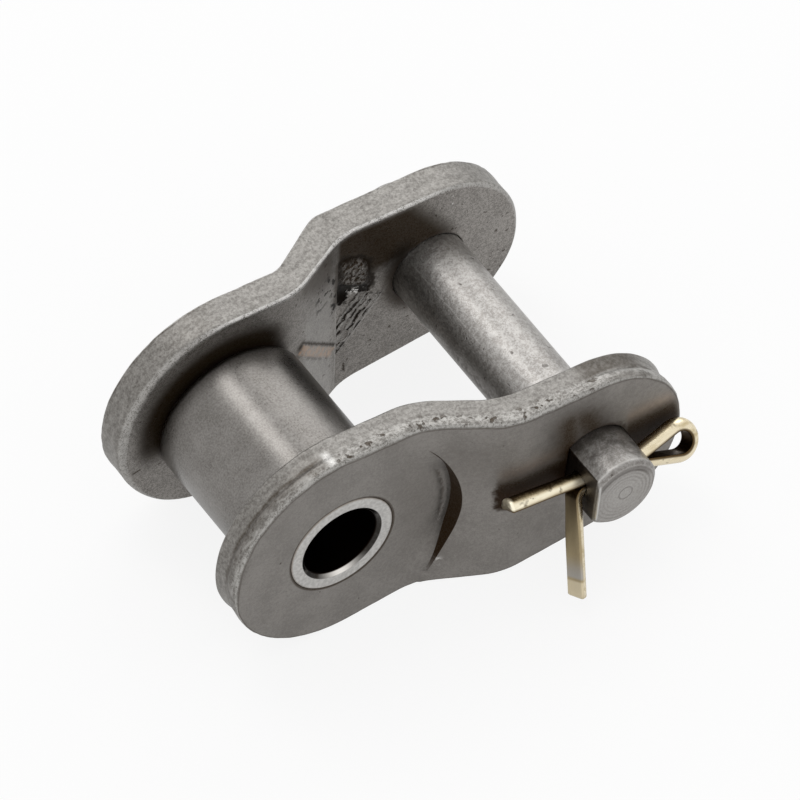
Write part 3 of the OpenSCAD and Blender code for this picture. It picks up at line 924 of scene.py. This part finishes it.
@dataclass
class CrankedPlate:
    """Side plate that steps outwards from the bush to the pin.

    Each half is a polar grid about its hole that reaches a line between the
    two, and one band runs round the rim over both rounded edges.
    """

    MARKS = ("across", "run")

    name: str
    side: Side
    sizes: LinkSizes
    finish: PlateFinish
    outer_ramp: Ramp
    inner_ramp: Ramp
    crease_x: Optional[float] = None
    tail: float = math.pi
    pin_end_more: float = 0.0
    low_shift: float = 0.0
    outer_pocket_r: float = 12.2
    inner_pocket_r: float = 12.4
    wall_half: float = 0.05
    split_x: float = 12.7
    band: float = 1.5
    outer_round: float = 0.5
    inner_round: float = 0.3
    hole_round: float = 0.14
    ledge: float = 0.0
    seed: int = 1

    def pocket(self, face: Face, x: Array, z: Array) -> tuple[Array, float]:
        """Distance that grows across a pocket's wall, and its value at the wall.

        The outer pocket is round about the bush and runs out straight below an
        angle; the inner one is round about the pin, or ends at a straight crease.

        Args:
            face: Face that holds the pocket.
            x: X of the points.
            z: Z of the points.

        Returns:
            The distances and the wall's own distance.
        """
        if face is Face.OUTER:
            straight = x * math.cos(self.tail) - z * math.sin(self.tail)
            return np.where(np.arctan2(z, x) > -self.tail, np.hypot(x, z), straight), self.outer_pocket_r
        if self.crease_x is None:
            return np.hypot(x - self.sizes.pitch, z), self.inner_pocket_r
        return self.sizes.pitch - x, self.sizes.pitch - self.crease_x

    def pocket_radius(self, face: Face, end: End, angle: Array) -> Array:
        """Radius of the pocket's wall about the hole of an end, at each angle."""
        if face is Face.OUTER and end is End.BUSH:
            return self.outer_pocket_r / np.cos(np.clip(-self.tail - angle, 0.0, 1.2))
        if face is Face.INNER and end is End.PIN and self.crease_x is not None:
            return (self.sizes.pitch - self.crease_x) / np.maximum(-np.cos(angle), 0.2)
        return np.full_like(angle, self.inner_pocket_r)

    def height(self, face: Face, x: Array, z: Array) -> Array:
        """Distance of a face from the link's middle plane, with its pocket and relief."""
        s = self.sizes
        ramp = self.outer_ramp if face is Face.OUTER else self.inner_ramp
        shift = self.low_shift * smooth_step(-2.0, -10.0, z) if face is Face.OUTER else 0.0
        rise = ramp.rise(s.plate_offset, x + shift)
        reach, wall = self.pocket(face, x, z)
        inside = smooth_step(wall + self.wall_half, wall - self.wall_half, reach)
        if self.crease_x is not None and face is Face.INNER:
            inside = inside * smooth_step(3.6, 1.2, z) * smooth_step(-11.2, -8.5, z)
        if self.side is Side.NEAR and face is Face.OUTER:
            inside = inside * (1 - smooth_step(3.5, 8.5, z)) * (1 - 0.7 * smooth_step(-3.5, -9.0, z))
        waves = 0.02 * value_noise(x, z, 3.1, self.seed) + 0.01 * value_noise(x, z, 1.2, self.seed + 1)
        if face is Face.OUTER:
            return s.bush_out_y + rise * (1 - inside) + waves - self.groove(x, z)
        return s.bush_in_y + rise + (s.plate_offset - rise) * inside + waves - self.tear(x, z)

    def groove(self, x: Array, z: Array) -> Array:
        """Depth of the tool mark inside the near plate's outer pocket: a bell across a ring."""
        if self.side is Side.FAR:
            return np.zeros_like(x)
        radius, angle = np.hypot(x, z), np.degrees(np.arctan2(z, x))
        window = smooth_step(-24, -8, angle) * smooth_step(30, 16, angle)
        return window * (0.07 * bell(radius, 11.2, 0.26) - 0.015 * bell(radius, 11.7, 0.2))

    def tear(self, x: Array, z: Array) -> Array:
        """Lift of the torn metal beyond the far plate's crease: a lump over a hollow, and ribs.

        The lump fills a leaning box, where (u^4 + w^4)^(1/4) < 1.
        """
        if self.crease_x is None:
            return np.zeros_like(x)
        beyond = smooth_step(self.crease_x - 0.05, self.crease_x + 0.2, x)
        lean = z + 0.62 * (x - 16)
        crumple = value_noise(x, z, 0.7, 25) + 0.5 * value_noise(x, z, 0.35, 26)
        box = (((x - 16.75) / 1.75) ** 4 + ((lean - 5.1) / 1.9) ** 4) ** 0.25
        lump = smooth_step(1.1, 0.7, box)
        pit = bell(x, 15.35, 0.8) * bell(lean, 1.9, 1.4)
        over = (x - 19.9) * 0.755 - (z + 0.6) * 0.656
        ribs = smooth_step(0.3, -0.4, over) * smooth_step(-3.8, -2.8, over) * smooth_step(2.4, 1.4, lean)
        return beyond * (lump * (0.3 + 0.08 * crumple) - 0.5 * pit * (1 - lump) + ribs * (0.12 + 0.06 * crumple))

    def half_outline(self, end: End) -> tuple[Array, Array]:
        """Rim points of one half and their outward normals, in X and Z.

        The rim is a straight flank, the end's arc and the other flank,
        counterclockwise from the split line back to it.
        """
        s = self.sizes
        pin_end_r = s.pin_end_r + self.pin_end_more
        lean = math.acos((s.bush_end_r - pin_end_r) / s.pitch)
        if end is End.PIN:
            centre, radius, angles, turn = (s.pitch, 0.0), pin_end_r, np.linspace(-lean, lean, 122), 1
        else:
            centre, radius, angles, turn = (0.0, 0.0), s.bush_end_r, np.linspace(lean, 2 * np.pi - lean, 152), -1
        ways = np.stack([np.cos(angles), np.sin(angles)], axis=-1)
        arc = np.array(centre) + radius * ways
        split_z = (s.bush_end_r - self.split_x * math.cos(lean)) / math.sin(lean)
        first = np.linspace([self.split_x, -turn * split_z], arc[0], 42, endpoint=False)
        last = np.linspace([self.split_x, turn * split_z], arc[-1], 42, endpoint=False)[::-1]
        normals = np.concatenate([np.repeat(ways[:1], 42, axis=0), ways, np.repeat(ways[-1:], 42, axis=0)])
        return np.concatenate([first, arc, last]), normals

    def hole_radius(self, end: End, angle: Array) -> Array:
        """Radius of the end's hole at each angle: round, or with the near pin hole's flat."""
        s = self.sizes
        if end is End.BUSH:
            return np.full_like(angle, s.bush_r)
        round_r = s.pin_r + s.slip_gap
        if self.side is Side.FAR:
            return np.full_like(angle, round_r)
        towards_flat = -np.cos(angle + s.pin_turn)
        return np.minimum(round_r, (s.flat_x + s.slip_gap) / np.maximum(towards_flat, 0.1))

    def half_face(self, end: End, face: Face) -> Array:
        """Grid of one face of one half: angle round the hole by radius from hole to rim.

        Two close radii lie on either side of the pocket's wall, so that it stays crisp.
        """
        edge, normals = self.half_outline(end)
        rim = edge - self.band * normals
        rim = np.concatenate([rim, np.linspace(rim[-1], rim[0], 102)[1:-1]])
        centre_x = self.sizes.pitch if end is End.PIN else 0.0
        angle = np.arctan2(rim[:, 1], rim[:, 0] - centre_x)
        full = np.hypot(rim[:, 0] - centre_x, rim[:, 1])
        hole = self.hole_radius(end, angle)
        knot = np.minimum(self.pocket_radius(face, end, angle), 0.98 * full)
        radius = np.concatenate(
            [
                hole[:, None] + np.array([0.0, 0.04, 0.1, 0.2]),
                np.linspace(hole + 0.4, knot - self.wall_half, 34, axis=1),
                np.linspace(knot + self.wall_half, full, 9, axis=1),
            ],
            axis=1,
        )
        x = centre_x + radius * np.cos(angle)[:, None]
        z = radius * np.sin(angle)[:, None]
        drop = round_off(radius - hole[:, None], self.hole_round)
        inward = 1 if face is Face.INNER else -1
        y = self.height(face, x, z) + inward * drop
        return np.stack([x, self.side.value * y, z], axis=-1)

    def rounding(self, edge: Array) -> tuple[Array, Array]:
        """Radii of the outer and the inner rounded edge at each rim point.

        The near plate's outer edge is rounder at the pin end, and the far
        plate's inner edge at the back of the bush end; both waver a little.
        """
        x, z = edge[:, 0], edge[:, 1]
        waver = 1 + 0.22 * value_noise(x, z, 1.4, self.seed + 5)
        crisp = 1 - 0.7 * smooth_step(2, -4, z)
        outer, inner = self.outer_round * waver * crisp, self.inner_round * waver * crisp
        if self.side is Side.NEAR:
            return outer * (1 - 0.4 * smooth_step(24, 30, x)), inner
        return outer, inner + 0.1 * crisp + 0.5 * smooth_step(-3, -10, x - 0.35 * z)

    def rim_band(self) -> tuple[Array, Array, Array]:
        """Grid round the rim: outer rounded edge, wall and inner rounded edge.

        On a rounded edge of radius r at turn t the inset is r(1 - sin t) and the
        drop r(1 - cos t).

        Returns:
            The points, the share of the way across the edge for each column, and
            the length along the rim for each row.
        """
        edge, normals = self.half_outline(End.PIN)
        more_edge, more_normals = self.half_outline(End.BUSH)
        edge = np.concatenate([edge, more_edge[1:-1]])
        normals = np.concatenate([normals, more_normals[1:-1]])
        run = np.concatenate([[0.0], np.cumsum(np.linalg.norm(np.diff(edge, axis=0), axis=1))])
        turn = np.linspace(0, np.pi / 2, 7)
        down = np.array([0.1, 0.2, 0.28, 0.33, 0.38, 0.45, 0.6, 0.75, 0.9])
        inset, drop = [], []
        for radius in self.rounding(edge):
            r = radius[:, None]
            rows = np.ones_like(r)
            inset.append(np.hstack([rows * self.band, r + 0.1, r * (1 - np.sin(turn))]))
            drop.append(np.hstack([rows * 0, rows * 0, r * (1 - np.cos(turn))]))
        chips = value_noise(run[:, None] + 0 * down, 3.5 * down + 0 * run[:, None], 0.6, self.seed + 7)
        ends = np.maximum(smooth_step(1, -3, edge[:, :1]), smooth_step(24, 28, edge[:, :1]))
        ledge = self.ledge * smooth_step(0.26, 0.38, down) * smooth_step(1.0, 0.8, down) * (0.15 + 0.85 * ends)
        wall_inset = ledge + 0.04 * np.sin(np.pi * down) * (1 + chips)
        inset[0][:, 2:] += 0.05 * np.sin(turn) * (1 + chips[:, :1])
        depth = np.hstack([inset[0], wall_inset, inset[1][:, ::-1]])
        flat = edge[:, None] - normals[:, None] * depth[..., None]
        x, z = flat[..., 0], flat[..., 1]
        outer = self.height(Face.OUTER, x, z)
        inner = self.height(Face.INNER, x, z)
        top = outer[:, :9] - drop[0]
        bottom = inner[:, -9:] + drop[1][:, ::-1]
        wall = top[:, -1:] * (1 - down) + bottom[:, :1] * down
        y = self.side.value * np.hstack([top, wall, bottom])
        lips = np.linspace(0, 0.25, 7)
        across = np.concatenate([[0, 0.02], 0.05 + lips, 0.3 + 0.45 * down, 0.75 + 0.8 * lips, [0.98, 1.0]])
        return np.stack([x, y, z], axis=-1), across, run[:, None]

    def build(self) -> bpy.types.Object:
        """Builds and dresses the plate."""
        shell = Shell(self.name, self.MARKS)
        for end in End:
            outer, inner = (self.half_face(end, face) for face in Face)
            shell.add(outer, rows_close=True, across=0.0)
            shell.add(inner, rows_close=True, across=1.0)
            shell.add(np.stack([outer[:, 0], inner[:, 0]], axis=1), rows_close=True, across=0.5)
        band, across, run = self.rim_band()
        shell.add(band, rows_close=True, across=across, run=run)
        piece = shell.to_object(crease_deg=50)
        piece.data.materials.append(self.finish.material())
        return place(piece, "link", self.name.removesuffix("_dressed"), "plate_steel")


@dataclass
class BushAndRoller:
    """Pressed bush and the free roller on it, both turned about the bush axis."""

    sizes: LinkSizes
    bush_finish: BushFinish = field(default_factory=BushFinish)
    roller_finish: RollerFinish = field(default_factory=RollerFinish)
    mouth: float = 0.4
    edge_round: float = 0.14
    roller_r: float = 7.94
    roller_bore_r: float = 5.73
    roller_half_w: float = 7.7
    roller_round: float = 0.6
    bore_round: float = 0.25

    def bush(self) -> bpy.types.Object:
        """Builds the bush: a ring with chamfered mouths, closed both ways."""
        s = self.sizes
        end = s.bush_out_y
        profile = filleted(
            [
                (s.bush_bore_r + self.mouth, -end, 0.08),
                (s.bush_r, -end, self.edge_round),
                (s.bush_r, end, self.edge_round),
                (s.bush_bore_r + self.mouth, end, 0.08),
                (s.bush_bore_r, end - self.mouth, 0.06),
                (s.bush_bore_r, -end + self.mouth, 0.06),
            ],
            closed=True,
        )
        shell = Shell("bush_dressed")
        shell.add(turned(profile, full_turn(160), 0.0), rows_close=True, columns_close=True)
        piece = shell.to_object(crease_deg=50)
        piece.data.materials.append(self.bush_finish.material())
        return place(piece, "link", "bush", "bush_steel")

    def roller(self) -> bpy.types.Object:
        """Builds the roller: a ring with rounded outer edges, closed both ways."""
        end = self.roller_half_w
        profile = filleted(
            [
                (self.roller_bore_r, -end, self.bore_round),
                (self.roller_r, -end, self.roller_round),
                (self.roller_r, end, self.roller_round),
                (self.roller_bore_r, end, self.bore_round),
            ],
            closed=True,
            steps=9,
        )
        shell = Shell("roller_dressed")
        shell.add(turned(profile, full_turn(192), 0.0), rows_close=True, columns_close=True)
        piece = shell.to_object(crease_deg=50)
        piece.data.materials.append(self.roller_finish.material())
        return place(piece, "roller", "roller", "roller_steel")


@dataclass
class CotteredPin:
    """Slip-fit pin with its flat and cross hole, and the split cotter through it."""

    MARKS = ("inside", "along", "over")

    sizes: LinkSizes
    pin_finish: PinFinish = field(default_factory=PinFinish)
    wire_finish: WireFinish = field(default_factory=WireFinish)
    stub: float = 5.2
    far_stub: float = 4.8
    chamfer: float = 0.5
    flat_ease: float = 0.16
    cross_hole_r: float = 1.25
    half_gap: float = 0.05
    roll: float = math.radians(31)
    straight_leg: float = 7.8
    leg_lift: float = 3.5
    leg_lift_r: float = 4.0
    bent_leg: float = 9.6
    leg_bend: float = 79.0
    leg_bend_r: float = 1.3
    eye_r: float = 1.1
    eye_reach: float = 4.3
    eye_neck_r: float = 2.0
    corner_r: float = 0.16
    tip_slant: float = -0.05
    leg_twist: float = 10.0
    tip_flare: float = 0.12

    def pin(self) -> bpy.types.Object:
        """Builds the pin: a turned profile cut by a plane on the flat's side.

        At angle a the plane is flat / cos(a) from the axis, and the surface takes
        the smooth minimum of that and the profile's radius.
        """
        s = self.sizes
        near, far = -s.pin_out_y - self.stub, s.pin_out_y + self.far_stub
        nose = s.pin_r - self.chamfer
        outline = filleted(
            [
                (0.0, near, 0.0),
                (nose, near, 0.14),
                (s.pin_r, near + self.chamfer, 0.2),
                (s.pin_r, far - self.chamfer, 0.2),
                (nose, far, 0.14),
                (0.0, far, 0.0),
            ],
            closed=False,
        )
        shoulder = -s.pin_in_y
        cut = np.searchsorted(outline[:, 1], shoulder)
        discs = np.stack([np.linspace(0, outline[1, 0], 16)[:-1], np.full(15, near)], axis=-1)
        neck = [[s.pin_r, shoulder - 0.02], [s.pin_r, shoulder]]
        profile = np.concatenate([discs, outline[1:cut], neck, outline[cut:]])
        edge = math.pi - s.pin_turn
        half = math.acos(s.flat_x / s.pin_r)
        near_edges = np.radians([-4, -2, -1, 0, 1, 2, 4])
        angles = np.sort(np.concatenate([full_turn(180) + 1e-4, edge - half + near_edges, edge + half + near_edges]))
        points = turned(profile, angles, 0.0)
        radius = profile[None, :, 0]
        limit = s.flat_x / np.maximum(-np.cos(angles + s.pin_turn), 1e-3)[:, None]
        share = np.clip(0.5 + 0.5 * (limit - radius) / self.flat_ease, 0, 1)
        eased = limit + (radius - limit) * share - self.flat_ease * share * (1 - share)
        flatted = np.where(profile[None, :, 1] < shoulder - 0.01, np.maximum(eased, 0), radius)
        flatted = np.where(radius == 0, 0.0, flatted)
        points[..., 0] = s.pitch + flatted * np.cos(angles)[:, None]
        points[..., 2] = flatted * np.sin(angles)[:, None]
        shell = Shell("pin_dressed")
        shell.add(points, rows_close=True)
        piece = shell.to_object(crease_deg=40)
        self.bore_cross_hole(piece)
        piece.data.materials.append(self.pin_finish.material())
        return place(piece, "link", "pin", "pin_steel")

    def bore_cross_hole(self, piece: bpy.types.Object) -> None:
        """Cuts the cotter's hole through the pin with a round drill."""
        s = self.sizes
        profile = np.array([[0.0, -s.pin_r - 2], [self.cross_hole_r, -s.pin_r - 2],
                            [self.cross_hole_r, s.pin_r + 2], [0.0, s.pin_r + 2]])
        upright = turned(profile, full_turn(48), 0.0)
        drill = Shell("cross_drill")
        drill.add(self.placed(upright[..., [1, 0, 2]]), rows_close=True)
        cutter = drill.to_object(crease_deg=30)
        cut = piece.modifiers.new("cross_hole", "BOOLEAN")
        cut.operation, cut.solver, cut.object = "DIFFERENCE", "EXACT", cutter
        view = bpy.context.evaluated_depsgraph_get()
        bored = bpy.data.meshes.new_from_object(piece.evaluated_get(view))
        piece.modifiers.clear()
        piece.data = bored
        bpy.data.objects.remove(cutter)
        shade(bored, 40)

    def placed(self, points: Array) -> Array:
        """Turns points from the cotter's frame into the link's.

        The frame rolls about X by the cotter's roll, turns about Y by the pin's
        turn and moves to the cross hole.
        """
        s = self.sizes
        x, y, z = points[..., 0], points[..., 1], points[..., 2]
        y, z = y * math.cos(self.roll) + z * math.sin(self.roll), z * math.cos(self.roll) - y * math.sin(self.roll)
        x, z = x * math.cos(s.pin_turn) + z * math.sin(s.pin_turn), z * math.cos(s.pin_turn) - x * math.sin(s.pin_turn)
        return np.stack([x + s.pitch, y + s.cotter_y, z], axis=-1)

    def wire_path(self) -> tuple[Array, Array]:
        """Path of the wire's flat in its plane, from tip to tip.

        A straight move advances along the heading; a bend of radius r through
        angle a turns about a centre r to the left or right of the heading.

        Returns:
            Points in X and Z, and the heading at each, in radians.
        """
        s = self.sizes
        rise = self.half_gap + self.eye_neck_r
        to_eye = math.hypot(self.eye_reach, rise)
        both = self.eye_neck_r + self.eye_r
        neck = math.degrees(math.asin(both / to_eye) - math.atan(rise / self.eye_reach))
        neck_side = math.sqrt(to_eye**2 - both**2)
        lift = math.radians(self.leg_lift)
        run = self.straight_leg * math.cos(lift) + self.leg_lift_r * math.sin(lift)
        climb = self.straight_leg * math.sin(lift) + self.leg_lift_r * (1 - math.cos(lift))
        at, heading = np.array([-s.flat_x - run, self.half_gap + climb]), -lift
        moves = [
            (self.straight_leg, None),
            (self.leg_lift_r, self.leg_lift),
            (s.flat_x + s.pin_r, None),
            (self.eye_neck_r, neck),
            (neck_side, None),
            (self.eye_r, -180 - 2 * neck),
            (neck_side, None),
            (self.eye_neck_r, neck),
            (s.pin_r + s.flat_x, None),
            (self.leg_bend_r, self.leg_bend),
            (self.bent_leg, None),
        ]
        points, headings = [at[None]], [np.array([heading])]
        for size, bend in moves:
            if bend is None:
                t = np.linspace(0, size, max(2, math.ceil(size / 0.6)) + 1)[1:]
                turn = np.full_like(t, heading)
                step = t[:, None] * np.array([math.cos(heading), math.sin(heading)])
            else:
                t = np.radians(bend) * np.linspace(0, 1, math.ceil(abs(bend) / 5) + 1)[1:]
                turn = heading + t
                centre = math.copysign(size, bend) * np.array([-math.sin(heading), math.cos(heading)])
                step = centre + math.copysign(size, bend) * np.stack([np.sin(turn), -np.cos(turn)], axis=-1)
            points.append(at + step)
            headings.append(turn)
            at, heading = points[-1][-1], turn[-1]
        return np.concatenate(points), np.concatenate(headings)

    def half_round(self) -> Array:
        """Closed profile of the wire: its round back, two eased corners and the flat.

        A corner's circle touches the flat and the back, so its centre is at
        sqrt((R - f)^2 - f^2) to the side.

        Returns:
            Points by distance off the flat and sideways.
        """
        big, small = self.sizes.wire_r, self.corner_r
        side = math.sqrt((big - small) ** 2 - small**2)
        touch = math.atan2(side, small)
        back = np.linspace(-touch, touch, 25)
        corner = np.linspace(touch, math.pi, 6)[1:]
        flat = np.linspace(side, -side, 5)[1:-1]
        upper = np.stack([small + small * np.cos(corner), side + small * np.sin(corner)], axis=-1)
        middle = np.stack([np.zeros_like(flat), flat], axis=-1)
        round_back = np.stack([big * np.cos(back), big * np.sin(back)], axis=-1)
        return np.concatenate([round_back, upper, middle, (upper * [1, -1])[::-1]])

    def cotter(self) -> bpy.types.Object:
        """Builds the cotter: the half-round profile carried along the wire's path.

        At each tip the profile repeats with its rim drawn in and then closes on its middle.
        """
        path, heading = self.wire_path()
        profile = self.half_round()
        middle = np.array([0.45 * self.sizes.wire_r, 0.0])
        scale = np.concatenate([[0.0, 0.86], np.ones(len(path)), [0.86, 0.0]])
        along = np.concatenate([[0.0, 0.0], np.zeros(len(path)), [0.0, 0.0]])
        along[2], along[-3] = 0.12, -0.12
        order = np.concatenate([[0, 0], np.arange(len(path)), [len(path) - 1] * 2])
        at, turn = path[order], heading[order]
        ring = middle + (profile - middle) * scale[:, None, None]
        slant = np.zeros(len(order))
        slant[-3:] = self.tip_slant
        ahead = along[:, None] + slant[:, None] * ring[..., 1]
        off, side = ring[..., 0], ring[..., 1]
        passed = np.concatenate([[0.0], np.cumsum(np.linalg.norm(np.diff(path, axis=0), axis=1))])[order]
        flare = self.tip_flare * smooth_step(6.0, 0.5, passed)[:, None]
        off = off - flare * np.clip(1 - off / self.sizes.wire_r, 0, 1)
        twist = np.radians(self.leg_twist) * smooth_step(passed[-1] - self.bent_leg, passed[-1] - 5, passed)[:, None]
        off, side = off * np.cos(twist) - side * np.sin(twist), side * np.cos(twist) + off * np.sin(twist)
        x = at[:, :1] - off * np.sin(turn)[:, None] + ahead * np.cos(turn)[:, None]
        z = at[:, 1:] + off * np.cos(turn)[:, None] + ahead * np.sin(turn)[:, None]
        inside = np.broadcast_to(smooth_step(0.3, 0.1, profile[:, 0]), off.shape)
        share = np.broadcast_to((passed / passed[-1])[:, None], off.shape)
        shell = Shell("cotter_dressed", self.MARKS)
        shell.add(self.placed(np.stack([x, side, z], axis=-1)), columns_close=True, inside=inside, along=share,
                  over=ring[..., 1] / self.sizes.wire_r)
        piece = shell.to_object(crease_deg=60)
        piece.data.materials.append(self.wire_finish.material())
        return place(piece, "link", "cotter", "cotter_wire")


def place(piece: bpy.types.Object, body: str, node: str, slot: str) -> bpy.types.Object:
    """Lets a piece ride on its body and stand for its solid."""
    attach(piece, body)
    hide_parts(node)
    return piece


@dataclass(frozen=True)
class Lamp:
    """Soft rectangular lamp that faces the link."""

    name: str
    towards: Colour
    distance: float
    width: float
    height: float
    level: float

    def build(self, target: Vector) -> None:
        """Adds the lamp; its power is level times pi times its area.

        Args:
            target: Point that it faces, in metres.
        """
        light = bpy.data.lights.new(self.name, "AREA")
        light.shape, light.size, light.size_y = "RECTANGLE", self.width, self.height
        light.energy = self.level * math.pi * self.width * self.height
        lamp = bpy.data.objects.new(self.name, light)
        way = Vector(self.towards).normalized()
        lamp.location = target + way * self.distance
        lamp.rotation_mode = "QUATERNION"
        lamp.rotation_quaternion = way.to_track_quat("Z", "Y")
        bpy.context.scene.collection.objects.link(lamp)


@dataclass
class Studio:
    """Pale floor, soft lamps, white surroundings and the camera."""

    sizes: LinkSizes
    lamps: Sequence[Lamp] = (
        Lamp("overhead_strip", (-0.10, 0.50, 0.86), 0.6, 0.17, 0.5, 2.55),
        Lamp("back_softbox", (0.58, 0.54, 0.61), 0.7, 0.50, 0.5, 1.15),
    )
    azimuth: float = math.radians(-34.855)
    elevation: float = math.radians(50.722)
    roll: float = math.radians(1.805)
    distance: float = 1154.2
    focal_px: float = 12268.9
    frame_px: float = 800.0
    target_x: float = 14.165
    target_up: float = -0.132
    floor_half: float = 1.6
    seen_glow: float = 0.86
    mirrored_glow: float = 0.5

    def camera(self) -> None:
        """Adds the camera at the angles, the distance and the lens of the photograph's view."""
        a, e, r = self.azimuth, self.elevation, self.roll
        back = Vector((math.sin(a) * math.cos(e), -math.cos(a) * math.cos(e), math.sin(e)))
        level = Vector((math.cos(a), math.sin(a), 0.0))
        above = back.cross(level)
        right = level * math.cos(r) + above * math.sin(r)
        up = above * math.cos(r) - level * math.sin(r)
        target = Vector((self.target_x, 0.0, 0.0)) + up * self.target_up
        lens = bpy.data.cameras.new("camera")
        lens.sensor_fit, lens.sensor_width = "HORIZONTAL", 36.0
        lens.lens = lens.sensor_width * self.focal_px / self.frame_px
        lens.clip_start, lens.clip_end = 0.05, 10.0
        camera = bpy.data.objects.new("camera", lens)
        turn = Matrix((right, up, back)).transposed().to_4x4()
        camera.matrix_world = Matrix.Translation((target + back * self.distance) * MM) @ turn
        bpy.context.scene.collection.objects.link(camera)
        bpy.context.scene.camera = camera

    def floor(self) -> None:
        """Adds the floor under both ends: a grid on the plane through the lower flanks."""
        s = self.sizes
        lean = s.flank_lean
        low = np.array([s.bush_end_r * math.cos(lean), -s.bush_end_r * math.sin(lean) - 0.15])
        reach = np.linspace(-self.floor_half, self.floor_half, 9) / MM
        x, y = np.meshgrid(reach, reach, indexing="ij")
        z = low[1] + (x - low[0]) / math.tan(lean)
        rows, columns = x.shape
        index = np.arange(rows * columns).reshape(rows, columns)
        quads = np.stack([index[:-1, :-1], index[1:, :-1], index[1:, 1:], index[:-1, 1:]], axis=-1)
        mesh = bpy.data.meshes.new("floor")
        points = np.stack([x, y, z], axis=-1).reshape(-1, 3) * MM
        mesh.from_pydata(points.tolist(), [], quads.reshape(-1, 4).tolist())
        mesh.materials.append(self.floor_material())
        floor = bpy.data.objects.new("floor", mesh)
        bpy.context.scene.collection.objects.link(floor)

    def floor_material(self) -> bpy.types.Material:
        """Pale matt floor that glows to white where the camera or a mirror sees it, under its shadow."""
        g = Graph("floor")
        rays = g.node("ShaderNodeLightPath", {}, {}).outputs
        seen = Num(g, rays["Is Camera Ray"]).most(Num(g, rays["Is Transmission Ray"]))
        mirrored = Num(g, rays["Is Glossy Ray"])
        paper = g.node("ShaderNodeBsdfDiffuse", {}, {"Color": (0.86, 0.86, 0.86, 1.0)})
        glow = g.node("ShaderNodeEmission", {}, {"Color": (1.0, 1.0, 1.0, 1.0), "Strength": 1.0})
        share = seen * self.seen_glow + mirrored * self.mirrored_glow
        mixed = g.node("ShaderNodeMixShader", {}, {0: share, 1: paper.outputs[0], 2: glow.outputs[0]})
        g.node("ShaderNodeOutputMaterial", {}, {0: mixed.outputs[0]})
        return g.material

    def world(self) -> None:
        """White surroundings to the camera and to mirrors, and a plain soft level for the rest."""
        world = bpy.data.worlds.new("studio")
        world.use_nodes = True
        nodes, links = world.node_tree.nodes, world.node_tree.links
        nodes.clear()
        rays = nodes.new("ShaderNodeLightPath")
        seen = nodes.new("ShaderNodeMath")
        seen.operation = "MAXIMUM"
        either = nodes.new("ShaderNodeMath")
        either.operation = "MAXIMUM"
        links.new(rays.outputs["Is Camera Ray"], seen.inputs[0])
        links.new(rays.outputs["Is Glossy Ray"], seen.inputs[1])
        links.new(seen.outputs[0], either.inputs[0])
        links.new(rays.outputs["Is Transmission Ray"], either.inputs[1])
        level = nodes.new("ShaderNodeMapRange")
        level.inputs["To Min"].default_value, level.inputs["To Max"].default_value = 0.8, 1.0
        links.new(either.outputs[0], level.inputs["Value"])
        glow = nodes.new("ShaderNodeBackground")
        links.new(level.outputs[0], glow.inputs["Strength"])
        glow.inputs["Color"].default_value = (1.0, 1.0, 1.0, 1.0)
        out = nodes.new("ShaderNodeOutputWorld")
        links.new(glow.outputs[0], out.inputs[0])
        bpy.context.scene.world = world

    def build(self) -> None:
        """Builds the whole studio."""
        self.floor()
        self.world()
        for lamp in self.lamps:
            lamp.build(Vector((self.target_x, 0.0, 0.0)) * MM)
        self.camera()
        bpy.context.scene.view_settings.view_transform = "Standard"


def main() -> None:
    """Loads the frame, builds the pieces in order and sets up the studio."""
    logging.basicConfig(level=logging.INFO, format="%(name)s: %(message)s")
    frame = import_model()
    LOG.info("frame with %d nodes", len(frame["nodes"]))
    sizes = LinkSizes()
    near = CrankedPlate(
        "near_plate_dressed", Side.NEAR, sizes, NearPlateFinish("near_plate_steel", 0.55, 0.40, 0.74, 0.0, face_rough=0.54),
        Ramp(12.7, 8.0), Ramp(13.2, 9.0), tail=math.radians(22), low_shift=0.9, ledge=0.13, seed=3,
    )
    far_finish = FarPlateFinish(
        "far_plate_steel", 1.25, 0.16, 0.66, 0.85, dark=(0.180, 0.168, 0.155), light=(0.330, 0.312, 0.292)
    )
    far = CrankedPlate(
        "far_plate_dressed", Side.FAR, sizes, far_finish, Ramp(11.05, 3.0, math.radians(32)), Ramp(11.6, 8.0),
        crease_x=14.7, pin_end_more=0.12, outer_round=0.35, seed=11,
    )
    turned_pair = BushAndRoller(sizes)
    fastening = CotteredPin(sizes)
    for make in (near.build, far.build, turned_pair.bush, turned_pair.roller, fastening.pin, fastening.cotter):
        piece = make()
        LOG.info("%s: %d faces", piece.name, len(piece.data.polygons))
    Studio(sizes).build()


if __name__ == "__main__":
    main()
